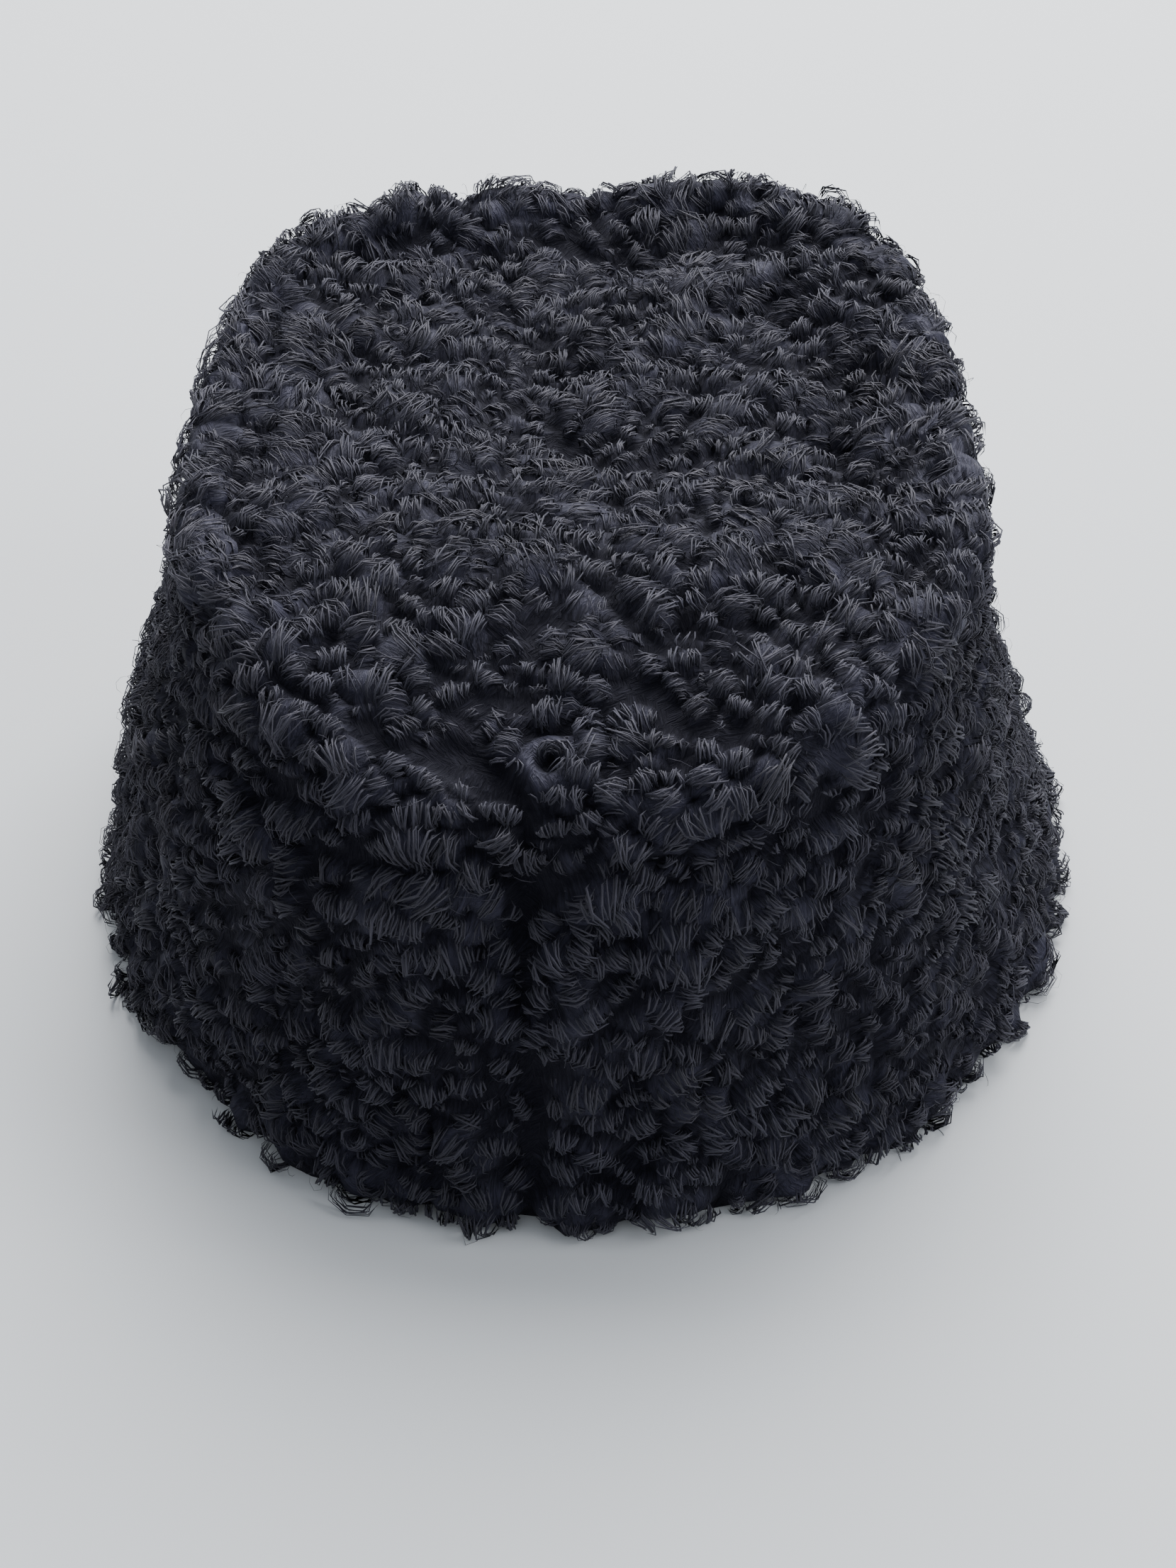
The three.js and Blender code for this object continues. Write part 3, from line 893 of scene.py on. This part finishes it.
def roll_paths(chosen, rng, bundles, in_bundle):
    """Locks that climb at the back of the roll, run over it and tuck in at the front."""
    count = int(chosen.sum())
    total = count * bundles * in_bundle
    c = pick(chosen, bundles * in_bundle)

    def shared(low, high):
        """One random number for each bundle, repeated for the bundle's locks."""
        return np.repeat(between(rng, low, high, count * bundles), in_bundle)

    middle = np.repeat(np.tile((np.arange(bundles) + 0.5) / bundles - 0.5, count), in_bundle)
    middle = middle + shared(-0.1, 0.1)
    seat = middle + between(rng, -SEAT_SPREAD, SEAT_SPREAD, total) / bundles
    drawn = between(rng, *DRAWN, total)[:, None] * SHARE ** 1.3
    along = (seat[:, None] + (middle - seat)[:, None] * drawn) * c["length"][:, None]
    aslant = shared(-0.45, 0.45) + between(rng, -0.2, 0.2, total)
    hook = shared(-CROOK, CROOK) + between(rng, -0.3, 0.3, total)
    turned = c["bend"][:, None] * along + aslant[:, None] + hook[:, None] * (SHARE - 0.5)
    end_drop = np.sqrt(1 - (1.5 * np.clip(seat, -0.55, 0.55)) ** 2)
    radius = c["radius"] * end_drop * shared(0.8, 1.2) * between(rng, 0.72, 1.12, total)
    lift = 0.55 * c["radius"] + shared(-0.4, 0.5) * MM
    start = np.radians(between(rng, *ROLL_START, total))
    end = np.radians(shared(*ROLL_END) + between(rng, -30, 30, total))
    turn = start[:, None] + (end - start)[:, None] * SHARE
    forward = (np.cos(turn) * (radius * c["stretch"])[:, None])[..., None]
    upward = (np.sin(turn) * radius[:, None] + lift[:, None])[..., None]
    phase = between(rng, 0, 1, total)[:, None]
    sway = np.sin(2 * math.pi * (1.2 * SHARE + phase)) * between(rng, *SWAY, total)[:, None] * MM
    lean = c["lean"][:, None] * np.cos(turned)[..., None] + c["axis"][:, None] * np.sin(turned)[..., None]
    path = c["place"][:, None] + c["axis"][:, None] * (along + sway)[..., None]
    path = path - c["lean"][:, None] * (c["bend"][:, None] * along ** 2 / 2)[..., None]
    path = path + lean * forward + c["up"][:, None] * upward
    ridge = lean * np.cos(turn)[..., None] + c["up"][:, None] * np.sin(turn)[..., None]
    return path, ridge


def whirl_paths(chosen, rng, bundles, in_bundle):
    """Locks that run round the middle of the whirl and sink into it."""
    count = int(chosen.sum())
    total = count * bundles * in_bundle
    c = pick(chosen, bundles * in_bundle)

    def shared(low, high):
        return np.repeat(between(rng, low, high, count * bundles), in_bundle)

    orbit = np.clip(shared(*ORBIT) + between(rng, -0.4, 0.4, total), 0.45, 1.9)
    first = shared(0, 2 * math.pi) + between(rng, -0.6, 0.6, total)
    sweep = c["sense"] * np.radians(between(rng, *WHIRL_SWEEP, total))
    turn = first[:, None] + sweep[:, None] * SHARE
    reach = (orbit * c["radius"])[:, None] * (1 - 0.4 * SHARE)
    dome = np.sqrt(np.clip(1 - ((orbit - WHIRL_MIDDLE) / 0.95) ** 2, 0.1, 1))
    hump = 1.4 * c["radius"] * dome * shared(0.8, 1.15)
    height = hump[:, None] * np.sin(math.pi * (0.08 + 0.8 * SHARE)) ** 0.6
    tilt = 0.35 * np.cos(turn - first[:, None]) * reach
    spoke = c["lean"][:, None] * np.cos(turn)[..., None] + c["axis"][:, None] * np.sin(turn)[..., None]
    path = c["place"][:, None] + spoke * reach[..., None] + c["up"][:, None] * (height + tilt)[..., None]
    ridge = c["up"][:, None] + spoke * (0.8 * (orbit - 1.1))[:, None, None]
    return path, ridge


# %% [markdown]
# ## Bending locks onto their paths
#
# At each station of a path the lock's triangle is set square to the path, ridge outwards. All locks
# of one region are joined into one mesh, and their UV map records how far each corner lies across
# and along its lock.

# %% Join bent locks into one piece
FLATNESS = 0.5
CLEARANCE = 0.05 * MM


def bend_locks(name, path, ridge, breadth, material, node, rng):
    count = len(path)
    ahead = unit(np.gradient(path, axis=1))
    ridge = unit(ridge - ahead * (ridge * ahead).sum(axis=2, keepdims=True))
    side = np.cross(ridge, ahead)
    half = breadth[:, None] / 2 * BREADTH_ALONG[lock_station]
    points = path[:, lock_station]
    points = points + side[:, lock_station] * (lock_corners[:, 0] * half)[..., None]
    points = points + ridge[:, lock_station] * (lock_corners[:, 1] * half * FLATNESS)[..., None]
    points[..., 2] = np.maximum(points[..., 2], CLEARANCE)
    triangles = lock_triangles[None] + (np.arange(count) * len(lock_corners))[:, None, None]
    loops = triangles.reshape(-1)
    data = bpy.data.meshes.new(name)
    data.vertices.add(count * len(lock_corners))
    data.vertices.foreach_set("co", points.reshape(-1).astype(np.float32))
    data.loops.add(len(loops))
    data.loops.foreach_set("vertex_index", loops.astype(np.int32))
    data.polygons.add(len(loops) // 3)
    data.polygons.foreach_set("loop_start", np.arange(0, len(loops), 3, dtype=np.int32))
    data.polygons.foreach_set("use_smooth", np.ones(len(loops) // 3, dtype=bool))
    length = np.linalg.norm(np.diff(path, axis=1), axis=2).sum(axis=1)
    across = lock_corners[:, 0] * half / MM + between(rng, 0, 400, count)[:, None]
    along = SHARE[lock_station] * (length / MM)[:, None]
    marks = np.stack([across, along], axis=2).reshape(-1, 2)[loops]
    data.uv_layers.new(name="lock_uv").data.foreach_set("uv", marks.reshape(-1).astype(np.float32))
    data.update(calc_edges=True)
    data.validate()
    print(name, "locks:", count, "triangles:", len(data.polygons))
    return new_piece(name, data, [material], [node])


# %% [markdown]
# ## Growing the curls
#
# The fleece is made in six regions round the band and two on the crown, so that no single mesh gets
# heavy. A large curl has three bundles of locks, and a small one has a single thin bundle.

# %% Grow the band and the crown
BREADTH = (0.24 * MM, 0.52 * MM)
LARGE_CURL = {"bundles": 3, "in_bundle": 7}
SMALL_CURL = {"bundles": 1, "in_bundle": 5}
BAND_REGIONS = ["back", "back_left", "front_left", "front", "front_right", "back_right"]
CROWN_REGIONS = ["right", "left"]
UPTURNED = 0.7
CROWN_SEED = 20


def grow(name, chosen, material, node, seed):
    rng = np.random.default_rng(seed)
    small, whirl = curls["small"], curls["whirl"]
    rolls = roll_paths(chosen & ~small & ~whirl, rng, **LARGE_CURL)
    whirls = whirl_paths(chosen & whirl, rng, **LARGE_CURL)
    fillers = roll_paths(chosen & small, rng, **SMALL_CURL)
    path, ridge = (np.concatenate(parts) for parts in zip(rolls, whirls, fillers))
    breadth = between(rng, *BREADTH, len(path))
    return bend_locks(name, path, ridge, breadth, material, node, rng)


on_top = curls["up"][:, 2] > UPTURNED
bearing = np.degrees(np.arctan2(curls["place"][:, 0], curls["place"][:, 1]))
sector = np.floor(((bearing + 30) % 360) / 60).astype(int)
for number, region in enumerate(BAND_REGIONS):
    chosen = ~on_top & (sector == number)
    grow("band_curls_" + region, chosen, band_black, "side_band", number)
for number, region in enumerate(CROWN_REGIONS):
    chosen = on_top & ((curls["place"][:, 0] > 0) == bool(number))
    seed = CROWN_SEED + number
    grow("crown_curls_" + region, chosen, crown_black_painted_light, "crown_tip", seed)

# %% [markdown]
# ## Loose hairs
#
# No fleece has a clean edge. Single fine hairs rise out of the curls, bend over and often close into
# a loop. They matter most in the outline, where they show against the floor.

# %% Scatter fine loose hairs
STRAYS = {"band": 1500, "crown": 500}
STRAY_BREADTH = (0.08 * MM, 0.14 * MM)
STRAY_RADIUS = (0.9, 2.6)
STRAY_SWEEP = (110, 270)


def stray_paths(among, count, rng):
    who = rng.choice(np.flatnonzero(among), count)
    up, lean, axis = curls["up"][who], curls["lean"][who], curls["axis"][who]
    spin = between(rng, 0, 2 * math.pi, count)
    flow = lean * np.cos(spin)[:, None] + axis * np.sin(spin)[:, None]
    radius = between(rng, *STRAY_RADIUS, count) * MM
    start = np.radians(between(rng, 170, 230, count))
    sweep = np.radians(between(rng, *STRAY_SWEEP, count))
    turn = start[:, None] - sweep[:, None] * SHARE
    spread = between(rng, -2.5, 2.5, count)[:, None] * MM
    height = 1.1 * curls["radius"][who] + between(rng, -0.4, 0.8, count) * MM
    root = curls["place"][who] + up * height[:, None] + np.cross(up, flow) * spread
    path = root[:, None] + flow[:, None] * (np.cos(turn) * radius[:, None])[..., None]
    path += up[:, None] * (np.sin(turn) * radius[:, None] * 0.9)[..., None]
    ridge = flow[:, None] * np.cos(turn)[..., None] + up[:, None] * np.sin(turn)[..., None]
    return path, ridge


def scatter_strays(name, among, count, material, node, seed):
    rng = np.random.default_rng(seed)
    path, ridge = stray_paths(among, count, rng)
    breadth = between(rng, *STRAY_BREADTH, count)
    return bend_locks(name, path, ridge, breadth, material, node, rng)


scatter_strays("band_stray_hairs", ~on_top, STRAYS["band"], band_black, "side_band", 31)
scatter_strays("crown_stray_hairs", on_top, STRAYS["crown"], crown_black_painted_light, "crown_tip", 32)
